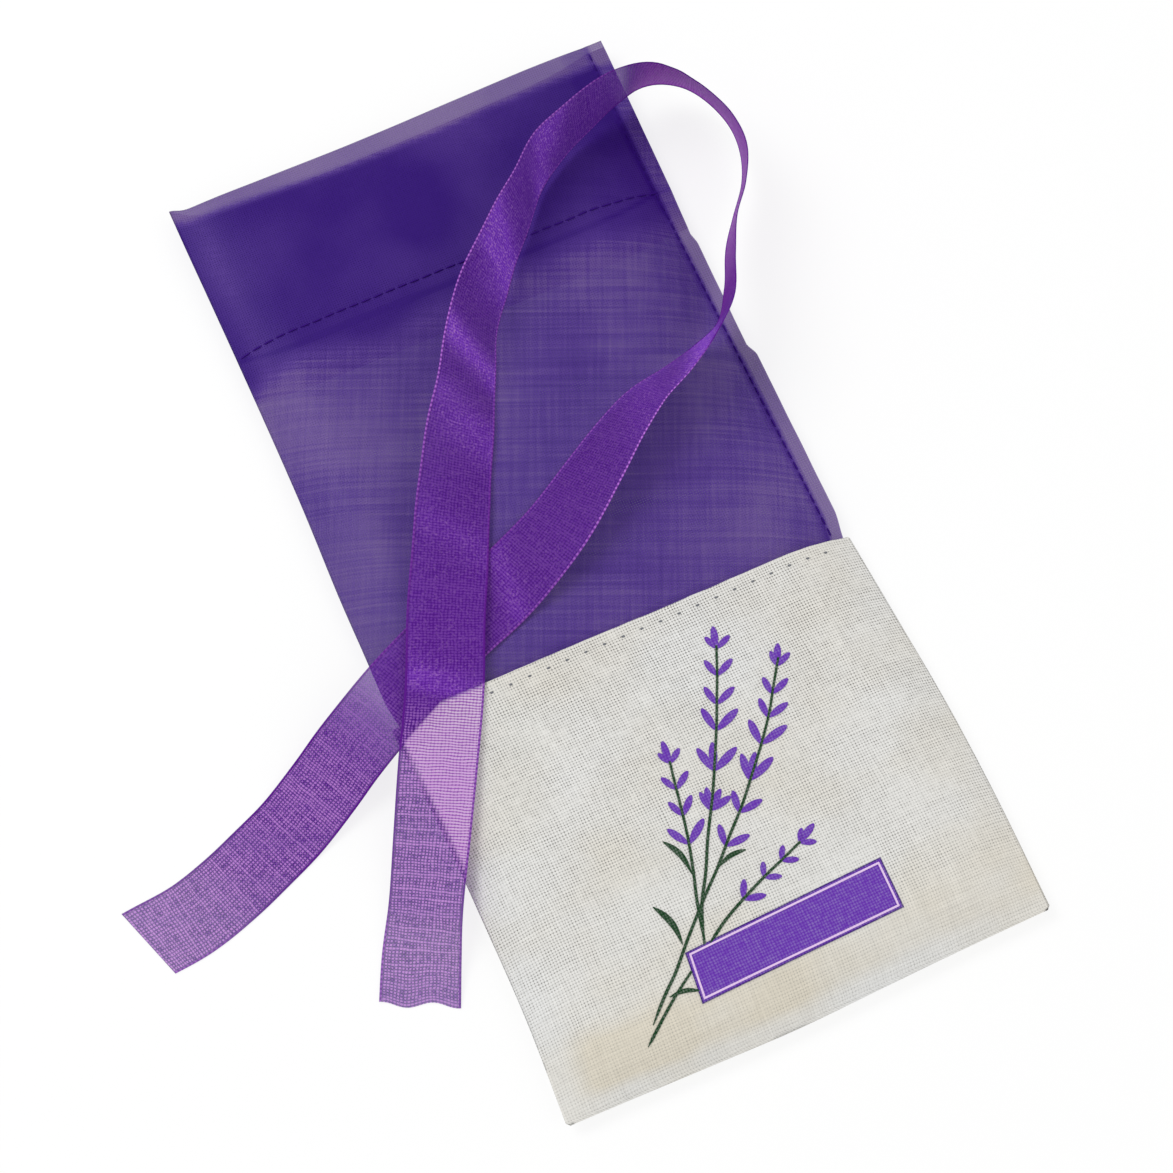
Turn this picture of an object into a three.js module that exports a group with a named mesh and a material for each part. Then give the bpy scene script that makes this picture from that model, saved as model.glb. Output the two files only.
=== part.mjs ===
// Lavender sachet bag: a flat cotton pocket with a sheer organza neck and a loose organza ribbon.
// Millimetres. Origin at the centre of the pocket's underside, +X across, +Y to the mouth, +Z up.
import * as THREE from 'three';

// Cloth and thread thicknesses
const COTTON = 0.4;
const ORGANZA = 0.25;
const THREAD = 0.3;
const RIBBON = 0.3;

// Clearances between plies, between butted panels and under a thread
const PLY_GAP = 0.25;
const BUTT_GAP = 0.3;
const THREAD_GAP = 0.2;

// Cotton pocket
const POCKET_WIDTH = 95;
const POCKET_HEIGHT = 80;
const POCKET_LOFT = 8;
const POCKET_EDGE = 4;
const TOP_TURN = 8;
const COTTON_ALLOWANCE = 6;
const TOPSTITCH_INSET = 2;
const TOPSTITCH_PITCH = 3.8;

// Organza neck
const NECK_NARROWER = 3.5;
const NECK_HEIGHT = 120;
const NECK_LOFT = 7;
const NECK_EDGE = 3.5;
const NECK_SHIFT = -2.75;
const BACK_SHORTER = 1.5;
const HEM_DEPTH = 37;
const HEM_RAW_EDGE = 10;
const LAP = 6.5;
const LAP_SIDE_GAP = 0.6;
const HEM_STITCH_PITCH = 3;
const SEAM_STITCH_PITCH = 2.5;
const ALLOWANCE = 3.1;
const ALLOWANCE_STEP = 1.3;
const STEP_LOW = 43;
const STEP_HIGH = 70;
const STEP_RUN = 2.4;

// Ribbon
const RIBBON_WIDTH = 14.8;
const RIBBON_SEAT = 0.9;
const RIBBON_OVER = 0.7;
const RIBBON_SLIT = 1;
const FLOOR_SEAT = 0.4;
const STATIONS_PER_SPAN = 2;
const CUT_SNAP = 0.05;

// Levels and edges that follow from the sizes
const foldY = POCKET_HEIGHT / 2;
const pocketBottom = -POCKET_HEIGHT / 2;
const pocketSide = POCKET_WIDTH / 2;
const neckWidth = POCKET_WIDTH - NECK_NARROWER;
const neckLeft = NECK_SHIFT - neckWidth / 2;
const neckSeam = NECK_SHIFT + neckWidth / 2;
const mouthY = foldY + NECK_HEIGHT;
const hemStitchY = mouthY - HEM_DEPTH;
const hemRawY = hemStitchY - HEM_RAW_EDGE;

const cottonCloth = new THREE.MeshStandardMaterial({ color: 0xd7d4cc, roughness: 0.95, metalness: 0 });
const organzaCloth = new THREE.MeshStandardMaterial({ color: 0x4f3a86, roughness: 0.6, metalness: 0 });
const ribbonCloth = new THREE.MeshStandardMaterial({ color: 0x8a55b0, roughness: 0.45, metalness: 0 });
const darkThread = new THREE.MeshStandardMaterial({ color: 0x3b2a66, roughness: 0.7, metalness: 0 });
const greyThread = new THREE.MeshStandardMaterial({ color: 0x6f6f78, roughness: 0.8, metalness: 0 });

const sachet = new THREE.Group();

function add(name, geometry, material) {
  const mesh = new THREE.Mesh(geometry, material);
  mesh.name = name;
  sachet.add(mesh);
}

function extrude(points, depth) {
  const shape = new THREE.Shape(points.map(([a, b]) => new THREE.Vector2(a, b)));
  return new THREE.ExtrudeGeometry(shape, { depth, bevelEnabled: false });
}

// A profile of (y, z) points drawn out along X
function alongX(profile, x0, x1) {
  const axes = new THREE.Matrix4().makeBasis(
    new THREE.Vector3(0, 1, 0),
    new THREE.Vector3(0, 0, 1),
    new THREE.Vector3(1, 0, 0),
  );
  return extrude(profile, x1 - x0).applyMatrix4(axes).translate(x0, 0, 0);
}

// A profile of (x, z) points drawn out along Y
function alongY(profile, y0, y1) {
  const axes = new THREE.Matrix4().makeBasis(
    new THREE.Vector3(0, 0, 1),
    new THREE.Vector3(1, 0, 0),
    new THREE.Vector3(0, 1, 0),
  );
  const turned = profile.map(([x, z]) => [z, x]);
  return extrude(turned, y1 - y0).applyMatrix4(axes).translate(0, y0, 0);
}

// A cloth edge that rounds over from the back to the front.
// Points are (outward, z), with 0 where the edge leaves the flat panels.
function roundedEdge(depth, loft, cloth) {
  const steps = 8;
  const outside = [];
  const inside = [];
  for (let i = 0; i <= steps; i += 1) {
    const a = (Math.PI * i) / steps;
    outside.push([depth * Math.sin(a), (loft / 2) * (1 - Math.cos(a))]);
    inside.push([(depth - cloth) * Math.sin(a), loft / 2 + (loft / 2 - cloth) * Math.cos(a)]);
  }
  return outside.concat(inside);
}

// A flat panel whose far end turns in and runs back beside it, in (y, z) points
function turnedPanel(y0, y1, turn, outer, cloth, inward) {
  const face = outer + inward * cloth;
  const gap = face + inward * PLY_GAP;
  const back = gap + inward * cloth;
  return [
    [y0, outer],
    [y1, outer],
    [y1, back],
    [y1 - turn, back],
    [y1 - turn, gap],
    [y1 - cloth, gap],
    [y1 - cloth, face],
    [y0, face],
  ];
}

// The directions across a strip and square to its face, at a station of a point, a direction and a lean angle
function crossAxes({ along, lean }) {
  const side = along.clone().cross(new THREE.Vector3(0, 0, 1)).normalize();
  const above = side.clone().cross(along).normalize();
  return {
    across: side.clone().multiplyScalar(Math.cos(lean)).addScaledVector(above, Math.sin(lean)),
    normal: above.clone().multiplyScalar(Math.cos(lean)).addScaledVector(side, -Math.sin(lean)),
  };
}

// The four corners of a strip's section at each station, from one share of its half width to another
function sections(stations, width, thickness) {
  return stations.map((station) => {
    const { across, normal } = crossAxes(station);
    const [from, to] = station.span ?? [-1, 1];
    return [[to, 1], [from, 1], [from, -1], [to, -1]].map(([w, t]) => {
      const corner = station.point.clone();
      corner.addScaledVector(across, (w * width) / 2);
      return corner.addScaledVector(normal, (t * thickness) / 2);
    });
  });
}

// A closed solid skinned over sections. Opposite faces share a diagonal, so a twisted strip keeps its thickness.
function skin(rings) {
  const geometry = new THREE.BufferGeometry();
  const index = [0, 1, 2, 0, 2, 3];
  for (let i = 0; i + 1 < rings.length; i += 1) {
    for (let k = 0; k < 4; k += 1) {
      const [a, b] = [4 * i + k, 4 * i + ((k + 1) % 4)];
      const [d, c] = [a + 4, b + 4];
      index.push(...(k < 2 ? [a, d, c, a, c, b] : [a, d, b, b, d, c]));
    }
  }
  const last = 4 * (rings.length - 1);
  index.push(last, last + 2, last + 1, last, last + 3, last + 2);
  geometry.setAttribute('position', new THREE.Float32BufferAttribute(rings.flat().flatMap((c) => c.toArray()), 3));
  geometry.setIndex(index);
  return geometry;
}

// A strip's stations on one side of the line y = limit, with their spans cut back to that line
function cutSquare(stations, width, limit, sign) {
  const reach = ({ along, lean }) => (crossAxes({ along, lean }).across.y * width) / 2;
  const past = (station, w) => sign * (station.point.y + w * reach(station) - limit);
  const refined = [stations[0]];
  for (let i = 1; i < stations.length; i += 1) {
    const [a, b] = [stations[i - 1], stations[i]];
    const crossings = [-1, 1].filter((w) => past(a, w) * past(b, w) < 0);
    const shares = crossings.map((w) => past(a, w) / (past(a, w) - past(b, w))).sort((m, n) => m - n);
    shares.filter((t) => t > CUT_SNAP && t < 1 - CUT_SNAP).forEach((t) => refined.push({
      point: a.point.clone().lerp(b.point, t),
      along: a.along.clone().lerp(b.along, t).normalize(),
      lean: THREE.MathUtils.lerp(a.lean, b.lean, t),
    }));
    refined.push(b);
  }
  const cut = refined.map((station) => {
    const line = THREE.MathUtils.clamp((limit - station.point.y) / reach(station), -1, 1);
    const span = sign * reach(station) > 0 ? [line, 1] : [-1, line];
    return { ...station, span: past(station, -1) > 0 && past(station, 1) > 0 ? [-1, 1] : span };
  });
  return cut.filter(({ span }) => span[1] - span[0] > CUT_SNAP);
}

// One sewing thread that rises over each stitch, straight from one point to another
function thread(from, to, pitch) {
  const count = Math.round(from.distanceTo(to) / pitch) * 2;
  const along = to.clone().sub(from).normalize();
  const stations = [];
  for (let i = 0; i <= count; i += 1) {
    const point = from.clone().lerp(to, i / count);
    point.z += i % 2 === 0 ? 0 : THREAD / 3;
    stations.push({ point, along, lean: 0 });
  }
  return skin(sections(stations, THREAD, THREAD));
}

// Cotton pocket: front and back panels with their top edges turned in, the fold and the seams
const panelY0 = pocketBottom + POCKET_EDGE + BUTT_GAP;
const panelX = pocketSide - POCKET_EDGE - BUTT_GAP;
const frontCotton = turnedPanel(panelY0, foldY, TOP_TURN, POCKET_LOFT, COTTON, -1);
const backCotton = turnedPanel(panelY0, foldY, TOP_TURN, 0, COTTON, 1);
add('cotton_front', alongX(frontCotton, -panelX, panelX), cottonCloth);
add('cotton_back', alongX(backCotton, -panelX, panelX), cottonCloth);

const pocketEdge = roundedEdge(POCKET_EDGE, POCKET_LOFT, COTTON);
const leftFold = pocketEdge.map(([u, z]) => [POCKET_EDGE - pocketSide - u, z]);
const rightEdge = pocketEdge.map(([u, z]) => [pocketSide - POCKET_EDGE + u, z]);
const bottomEdge = pocketEdge.map(([u, z]) => [pocketBottom + POCKET_EDGE - u, z]);
add('cotton_left_fold', alongY(leftFold, panelY0, foldY), cottonCloth);
add('cotton_right_edge', alongY(rightEdge, panelY0, foldY), cottonCloth);
add('cotton_bottom_edge', alongX(bottomEdge, -pocketSide, pocketSide), cottonCloth);

// Seam allowances turned inside the pocket, two plies pressed together, and the threads through them
const midZ = POCKET_LOFT / 2;
const pressed = [COTTON + BUTT_GAP, COTTON_ALLOWANCE];
const sidePlies = [
  [pocketSide - pressed[1], midZ - COTTON],
  [pocketSide - pressed[0], midZ - COTTON],
  [pocketSide - pressed[0], midZ + COTTON],
  [pocketSide - pressed[1], midZ + COTTON],
];
const bottomPlies = [
  [pocketBottom + pressed[0], midZ - COTTON],
  [pocketBottom + pressed[1], midZ - COTTON],
  [pocketBottom + pressed[1], midZ + COTTON],
  [pocketBottom + pressed[0], midZ + COTTON],
];
const pliesX1 = pocketSide - COTTON_ALLOWANCE - BUTT_GAP;
const pliesY0 = pocketBottom + COTTON_ALLOWANCE + BUTT_GAP;
const pliesY1 = foldY - TOP_TURN;
add('cotton_side_allowance', alongY(sidePlies, pliesY0, pliesY1), cottonCloth);
add('cotton_bottom_allowance', alongX(bottomPlies, -panelX, pliesX1), cottonCloth);

const pliesThreadZ = midZ + COTTON + THREAD_GAP + THREAD / 2;
const sideThreadX = pocketSide - POCKET_EDGE;
const bottomThreadY = pocketBottom + POCKET_EDGE;
add('cotton_side_thread', thread(
  new THREE.Vector3(sideThreadX, pliesY0, pliesThreadZ),
  new THREE.Vector3(sideThreadX, pliesY1, pliesThreadZ),
  SEAM_STITCH_PITCH,
), greyThread);
add('cotton_bottom_thread', thread(
  new THREE.Vector3(-panelX, bottomThreadY, pliesThreadZ),
  new THREE.Vector3(pliesX1, bottomThreadY, pliesThreadZ),
  SEAM_STITCH_PITCH,
), greyThread);

// Organza edges caught under the cotton's turned top edges, and the topstitching
const lapDepth = 2 * (COTTON + PLY_GAP);
const lapX0 = Math.max(-pocketSide + POCKET_EDGE, neckLeft + NECK_EDGE) + LAP_SIDE_GAP;
const lapX1 = Math.min(pocketSide - COTTON_ALLOWANCE, neckSeam - NECK_EDGE) - LAP_SIDE_GAP;
function lap(z0) {
  const profile = [[foldY - LAP, z0], [foldY, z0], [foldY, z0 + ORGANZA], [foldY - LAP, z0 + ORGANZA]];
  return alongX(profile, lapX0, lapX1);
}
add('organza_front_lap', lap(POCKET_LOFT - lapDepth - ORGANZA), organzaCloth);
add('organza_back_lap', lap(lapDepth), organzaCloth);

const topstitchY = foldY - TOPSTITCH_INSET;
const frontStitchZ = POCKET_LOFT + THREAD_GAP + THREAD / 2;
const backStitchZ = lapDepth + ORGANZA + THREAD_GAP + THREAD / 2;
add('pocket_topstitch_front', thread(
  new THREE.Vector3(-panelX, topstitchY, frontStitchZ),
  new THREE.Vector3(panelX, topstitchY, frontStitchZ),
  TOPSTITCH_PITCH,
), greyThread);
add('pocket_topstitch_back', thread(
  new THREE.Vector3(lapX0, topstitchY, backStitchZ),
  new THREE.Vector3(lapX1, topstitchY, backStitchZ),
  TOPSTITCH_PITCH,
), greyThread);

// Organza neck: front and back panels with the hem turned in at the mouth
const neckY0 = foldY + BUTT_GAP;
const sleeveX0 = neckLeft + NECK_EDGE + BUTT_GAP;
const sleeveX1 = neckSeam - NECK_EDGE - BUTT_GAP;
const hemTurn = mouthY - hemRawY;
const frontSleeve = turnedPanel(neckY0, mouthY, hemTurn, NECK_LOFT, ORGANZA, -1);
const backSleeve = turnedPanel(neckY0, mouthY - BACK_SHORTER, hemTurn - BACK_SHORTER, 0, ORGANZA, 1);
add('organza_front', alongX(frontSleeve, sleeveX0, sleeveX1), organzaCloth);
add('organza_back', alongX(backSleeve, sleeveX0, sleeveX1), organzaCloth);

const sleeveEdge = roundedEdge(NECK_EDGE, NECK_LOFT, ORGANZA);
const sleeveFold = sleeveEdge.map(([u, z]) => [neckLeft + NECK_EDGE - u, z]);
const sleeveSeam = sleeveEdge.map(([u, z]) => [neckSeam - NECK_EDGE + u, z]);
add('organza_left_fold', alongY(sleeveFold, neckY0, mouthY), organzaCloth);
add('organza_right_edge', alongY(sleeveSeam, neckY0, mouthY), organzaCloth);

// The side seam's raw allowances stand out past the stitching, cut unevenly in two places
const rawX0 = neckSeam + BUTT_GAP;
const rawX1 = rawX0 + ALLOWANCE;
const rawEdge = [
  [rawX0, neckY0],
  [rawX1 - ALLOWANCE_STEP / 2, neckY0],
  [rawX1, neckY0 + STEP_LOW - STEP_RUN],
  [rawX1 - ALLOWANCE_STEP, neckY0 + STEP_LOW],
  [rawX1 - ALLOWANCE_STEP / 2, neckY0 + STEP_HIGH - STEP_RUN],
  [rawX1 - ALLOWANCE_STEP, neckY0 + STEP_HIGH],
  [rawX1, mouthY],
  [rawX0, mouthY],
];
const rawZ = NECK_LOFT / 2 - ORGANZA;
add('organza_seam_allowance', extrude(rawEdge, 2 * ORGANZA).translate(0, 0, rawZ), organzaCloth);

const rawThreadX = rawX0 + THREAD;
const rawThreadZ = NECK_LOFT / 2 + ORGANZA + THREAD_GAP + THREAD / 2;
add('organza_seam_thread', thread(
  new THREE.Vector3(rawThreadX, neckY0, rawThreadZ),
  new THREE.Vector3(rawThreadX, mouthY, rawThreadZ),
  SEAM_STITCH_PITCH,
), darkThread);

const frontHemZ = NECK_LOFT + THREAD_GAP + THREAD / 2;
const backHemZ = 2 * ORGANZA + PLY_GAP + THREAD_GAP + THREAD / 2;
add('hem_stitch_front', thread(
  new THREE.Vector3(sleeveX0, hemStitchY, frontHemZ),
  new THREE.Vector3(sleeveX1, hemStitchY, frontHemZ),
  HEM_STITCH_PITCH,
), darkThread);
add('hem_stitch_back', thread(
  new THREE.Vector3(sleeveX0, hemStitchY, backHemZ),
  new THREE.Vector3(sleeveX1, hemStitchY, backHemZ),
  HEM_STITCH_PITCH,
), darkThread);

// Ribbon route. x is from the named edge, y from the fold line, z is the height of the ribbon's low edge,
// lean is the tilt in degrees, 0 flat and 90 on edge.
const onFloor = FLOOR_SEAT;
const onNeck = NECK_LOFT + RIBBON_SEAT;
const onPocket = POCKET_LOFT + RIBBON_SEAT;
const overRibbon = Math.max(onNeck, onPocket) + RIBBON_OVER;
const neckRight = rawX1;
const ribbonRoute = [
  [neckLeft, -55.5, -18.5, onFloor, 0],
  [neckLeft, -46.5, -17.5, onFloor, 0],
  [neckLeft, -38, -15, onFloor, 0],
  [neckLeft, -30.5, -12, onFloor, 0],
  [neckLeft, -23.5, -9, onFloor, 0],
  [neckLeft, -15.5, -5, onPocket * 0.4, 0],
  [neckLeft, -9, -1.7, onPocket * 0.8, 0],
  [neckLeft, -3, 1.2, onPocket, 0],
  [neckLeft, 4.5, 5, onPocket, 0],
  [neckLeft, 12.5, 8.6, onPocket, 0],
  [NECK_SHIFT, -25.5, 12, onNeck, 0],
  [NECK_SHIFT, -17, 15.2, onNeck, 0],
  [NECK_SHIFT, -3, 21.5, onNeck, 16],
  [NECK_SHIFT, 8.5, 29, onNeck, 27],
  [NECK_SHIFT, 16.5, 34.3, onNeck, 36],
  [NECK_SHIFT, 23.5, 38.2, onNeck, 45],
  [NECK_SHIFT, 31, 40.6, onNeck, 56],
  [NECK_SHIFT, 38, 43.5, onNeck, 66],
  [neckRight, -4.5, 47.6, onNeck, 78],
  [neckRight, 0, 55.2, onNeck - 0.6, 88],
  [neckRight, 4, 63, onNeck - 1.7, 90],
  [neckRight, 8.8, 69.6, onNeck - 2.7, 90],
  [neckRight, 13.3, 77, onNeck - 3.4, 90],
  [neckRight, 15, 83.8, onNeck - 3.6, 90],
  [neckRight, 14.8, 89.6, onNeck - 3.4, 90],
  [neckRight, 12.8, 95.3, onNeck - 2.7, 90],
  [neckRight, 10, 99, onNeck - 1.8, 90],
  [neckRight, 6, 101.3, onNeck - 0.8, 87],
  [neckRight, 1, 102.2, onNeck, 82],
  [neckRight, -4, 101.8, onNeck, 75],
  [neckRight, -10, 100, onNeck, 69],
  [NECK_SHIFT, 26.5, 94.2, onNeck, 65],
  [NECK_SHIFT, 18.5, 86.8, onNeck, 62],
  [NECK_SHIFT, 8, 76.4, onNeck, 57],
  [NECK_SHIFT, 0, 66.8, onNeck, 51],
  [NECK_SHIFT, -6.5, 55, onNeck, 43],
  [NECK_SHIFT, -11.5, 46.6, onNeck, 34],
  [NECK_SHIFT, -18.5, 33.6, onNeck + RIBBON_OVER / 2, 23],
  [NECK_SHIFT, -23, 24.4, onNeck + RIBBON_OVER, 14],
  [NECK_SHIFT, -28, 14.4, overRibbon, 4],
  [-pocketSide, 11, 1.4, overRibbon, 0],
  [-pocketSide, 4.8, -10.6, overRibbon, -1],
  [-pocketSide, -1.5, -22.4, onPocket - 2.2, -10],
  [-pocketSide, -7.9, -34, onPocket * 0.24, -24],
  [-pocketSide, -12, -41.5, onPocket * 0.07, -10],
  [-pocketSide, -15.5, -49, onFloor, 0],
];
// Where the loop begins and ends on that route
const LOOP_START = 17;
const LOOP_END = 29;

const leans = ribbonRoute.map((row) => THREE.MathUtils.degToRad(row[4]));
const routePoints = ribbonRoute.map(([edge, x, y, low], i) => {
  const rise = (RIBBON_WIDTH / 2) * Math.abs(Math.sin(leans[i]));
  return new THREE.Vector3(edge + x, foldY + y, low + rise);
});
const routeCurve = new THREE.CatmullRomCurve3(routePoints, false, 'centripetal');

// The ribbon between two points of the route, drawn back from its neighbour at either end
function ribbonStretch(first, last, trimStart, trimEnd) {
  const spans = routePoints.length - 1;
  const stations = [];
  for (let i = first * STATIONS_PER_SPAN; i <= last * STATIONS_PER_SPAN; i += 1) {
    const place = i / STATIONS_PER_SPAN;
    const at = Math.min(Math.floor(place), spans - 1);
    const lean = THREE.MathUtils.lerp(leans[at], leans[at + 1], place - at);
    const point = routeCurve.getPoint(place / spans);
    const along = routeCurve.getTangent(place / spans);
    stations.push({ point, along, lean });
  }
  const start = stations[0];
  const end = stations[stations.length - 1];
  start.point.addScaledVector(start.along, trimStart);
  end.point.addScaledVector(end.along, -trimEnd);
  return stations;
}

function addRibbon(name, stations) {
  add(name, skin(sections(stations, RIBBON_WIDTH, RIBBON)), ribbonCloth);
}

// Both strands are cut along the fold line, where they bend
const lowerStrand = ribbonStretch(0, LOOP_START, 0, BUTT_GAP);
const upperStrand = ribbonStretch(LOOP_END, routePoints.length - 1, BUTT_GAP, 0);
const tailEnd = foldY - RIBBON_SLIT / 2;
const runEnd = foldY + RIBBON_SLIT / 2;
addRibbon('ribbon_tail_left', cutSquare(lowerStrand, RIBBON_WIDTH, tailEnd, -1));
addRibbon('ribbon_lower_run', cutSquare(lowerStrand, RIBBON_WIDTH, runEnd, 1));
addRibbon('ribbon_loop', ribbonStretch(LOOP_START, LOOP_END, 0, 0));
addRibbon('ribbon_upper_run', cutSquare(upperStrand, RIBBON_WIDTH, runEnd, 1));
addRibbon('ribbon_tail_right', cutSquare(upperStrand, RIBBON_WIDTH, tailEnd, -1));

export default sachet;
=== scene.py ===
"""Lavender sachet bag: the looks of a cotton pocket, a sheer organza neck and a loose ribbon."""

import math

import bmesh
import bpy
import numpy as np
from mathutils import Matrix, Vector, noise


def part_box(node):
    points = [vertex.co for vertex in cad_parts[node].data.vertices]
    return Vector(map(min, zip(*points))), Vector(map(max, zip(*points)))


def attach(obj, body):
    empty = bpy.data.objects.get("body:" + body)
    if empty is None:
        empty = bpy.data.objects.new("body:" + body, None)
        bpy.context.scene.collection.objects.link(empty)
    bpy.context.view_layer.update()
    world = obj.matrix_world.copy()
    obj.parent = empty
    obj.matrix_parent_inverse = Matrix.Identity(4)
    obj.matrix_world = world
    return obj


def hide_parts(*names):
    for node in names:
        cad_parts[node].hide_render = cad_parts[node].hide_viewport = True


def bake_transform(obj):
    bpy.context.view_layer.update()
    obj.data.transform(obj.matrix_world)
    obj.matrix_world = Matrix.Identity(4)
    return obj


bl_info = {
    "name": "Lavender Sachet Bag",
    "version": (1, 0, 0),
    "blender": (4, 5, 0),
    "location": "View3D > Sidebar > Sachet",
    "description": "Dresses the packed sachet bag in printed cotton, organza and ribbon",
    "category": "Add Mesh",
}

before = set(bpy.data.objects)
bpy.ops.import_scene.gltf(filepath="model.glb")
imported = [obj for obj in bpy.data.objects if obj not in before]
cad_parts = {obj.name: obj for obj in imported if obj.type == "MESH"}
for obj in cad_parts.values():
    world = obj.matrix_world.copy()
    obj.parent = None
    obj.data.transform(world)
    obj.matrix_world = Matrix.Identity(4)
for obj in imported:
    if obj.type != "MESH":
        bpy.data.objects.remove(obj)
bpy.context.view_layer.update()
MM = 0.001


def cad(node, end, axis):
    """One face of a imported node's box, in millimetres."""
    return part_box(node)[end]["xyz".index(axis)] / MM


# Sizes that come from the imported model, in millimetres
FOLD_Y = cad("cotton_front", 1, "y")
POCKET_LOFT = cad("cotton_left_fold", 1, "z")
NECK_LOFT = cad("organza_left_fold", 1, "z")
MOUTH_Y = cad("organza_front", 1, "y")
HEM_Y = (cad("hem_stitch_front", 0, "y") + cad("hem_stitch_front", 1, "y")) / 2
BACK_SHORTER = MOUTH_Y - cad("organza_back", 1, "y")
LAP_Y = cad("organza_front_lap", 0, "y")

# Camera, with its lens in millimetres, and lights: each one's name, place, size and power, in metres
CAMERA_LENS = 70.37
CAMERA_PLACE = (-0.05394, -0.09256, 0.41105)
CAMERA_RIGHT = Vector((0.915, -0.4024, -0.0293))
CAMERA_UP = Vector((0.3867, 0.854, 0.348))
LIGHTS = [("key", (-0.35, 0.45, 0.75), 0.5, 3.2), ("fill", (0.5, -0.35, 0.6), 0.7, 1.3)]
LIT_POINT = Vector((0.0, 0.06, 0.0))
SKY_STRENGTH = 0.64

# Half side and height of the table, in millimetres
TABLE_HALF = 1500.0
TABLE_Z = -0.1

# Shapes of the pocket, in millimetres
EDGE_HEIGHT = 3.0
SIDE_ROUND = 14.0
FOOT_ROUND = 12.0
CORNER_ROUND = 0.7
STAIN_Y = -24.0
WORN_Y = 20.0
TOP_EDGE_Y = FOLD_Y - 0.7
TOP_TURN = 8.0
TURN_INSET = 0.9
POCKET_HALF = 47.5
ALLOWANCE_WIDTH = (0.8, 6.0)
ALLOWANCE_SIDE = (-33.5, 31.5)
ALLOWANCE_FOOT = (-43.0, 41.0)
POCKET_LEFT = [(-42, -47.5), (-39.9, -47.5), (-19.9, -46.7), (0.8, -46.9), (14.1, -47.2), (38.7, -48.4),
               (42, -48.6)]
POCKET_RIGHT = [(-42, 47.3), (-39.9, 47.3), (-18.4, 47.9), (1.5, 47.8), (20.3, 46.9), (40.6, 45.8),
                (42, 45.7)]
POCKET_FOOT = [(-50, -39.8), (-47.5, -39.8), (-33.7, -40.1), (-18.4, -40.5), (-3, -40.8), (13, -40.4),
               (28.9, -40.0), (47.4, -39.8), (50, -39.8)]

# Rows of stitches, in millimetres: start, stop, pitch, a stitch's length and its number of points
TOPSTITCH_INSET = 1.9
TOPSTITCH_PITCH = 3.8
TOPSTITCH_ROW = (-44.33, 42.67, TOPSTITCH_PITCH, 0.66, 5)
HEM_ROW = (-47.0, 42.0, 2.6, 2.4, 7)
SEAM_ROW = (FOLD_Y + 1.0, MOUTH_Y - 2.5, 2.5, 2.1, 6)
INSIDE_SIDE_ROW = (-33.0, 30.0, 2.5, 2.1, 6)
INSIDE_FOOT_ROW = (-42.0, 38.0, 2.5, 2.1, 6)
INSIDE_INSET = 4.0
COARSE_THREAD = 1.3
THREAD_SIDES = 6

# Shapes of the neck, in millimetres, and the turn of its streaks
FOLD_ROUND = 13.0
SEAM_ROUND = 16.0
HEM_RAW = 10.0
HEM_INSET = 0.55
HEM_CLOUD = (-6.5, 134.5)
MOUTH_LUG = 1.2
MOUTH_SAG = 1.4
MOUTH_PALE_Y = 155.4
STREAK_TURN = math.radians(23.7)
NECK_LEFT = [(30, -47.6), (55, -47.6), (68, -47.7), (90, -47.4), (123, -47.8), (150, -48.4), (162, -48.6)]
NECK_SEAM = [(30, 42.6), (60, 42.8), (110, 42.9), (140, 43.2), (162, 43.8)]
RAW_EDGE = [(30, 45.4), (40.8, 45.6), (82.1, 46.4), (84.4, 45.4), (109.2, 46.1), (111.5, 45.6), (122, 46.3),
            (162, 47.4)]

# Route of the ribbon in millimetres, with the height of its low edge and its lean in degrees
RIBBON_ROUTE = [
    (-104, 21.5, 0.4, 0), (-95, 22.5, 0.4, 0), (-86.5, 25, 0.4, 0), (-79, 28, 0.4, 0), (-72, 31, 0.7, 0),
    (-64, 35, 2.8, 0), (-57.5, 38.3, 5.6, 0), (-51.5, 41.2, 7.4, 0), (-44, 45, 8.2, 0), (-36, 48.6, 8.5, 0),
    (-28.25, 52, 7.9, 0), (-19.75, 55.2, 7.9, 0), (-5.75, 61.5, 7.9, 16), (5.75, 69, 7.9, 30),
    (13.75, 74.3, 7.9, 40), (20.75, 78.2, 7.9, 47), (28.25, 80.6, 7.9, 56), (35.25, 83.5, 7.9, 66),
    (41.9, 87.6, 7.9, 77), (46.4, 95.2, 7.3, 83), (50.4, 103, 6.2, 83), (55.2, 109.6, 5.2, 82),
    (59.7, 117, 4.5, 88), (61.4, 123.8, 4.3, 97), (61.2, 129.6, 4.5, 104), (59.2, 135.3, 5.2, 108),
    (56.4, 139, 6.1, 110), (52.4, 141.3, 7.1, 108), (47.4, 142.2, 7.9, 100), (42.4, 141.8, 7.9, 93),
    (36.4, 140, 7.9, 87), (23.75, 134.2, 7.9, 80), (15.75, 126.8, 7.9, 75), (5.25, 116.4, 7.9, 64),
    (-2.75, 106.8, 7.9, 56), (-9.25, 95, 7.9, 46), (-14.25, 86.6, 7.9, 35), (-21.25, 73.6, 8.25, 23),
    (-25.75, 64.4, 8.6, 14), (-30.75, 54.4, 9.4, 4), (-36.5, 41.4, 9.4, 0), (-42.7, 29.4, 8.8, -3),
    (-49, 17.6, 5.8, -11), (-55.4, 6, 1.9, -17), (-59.5, -1.5, 0.6, -7), (-63, -9, 0.4, 0),
]
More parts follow.
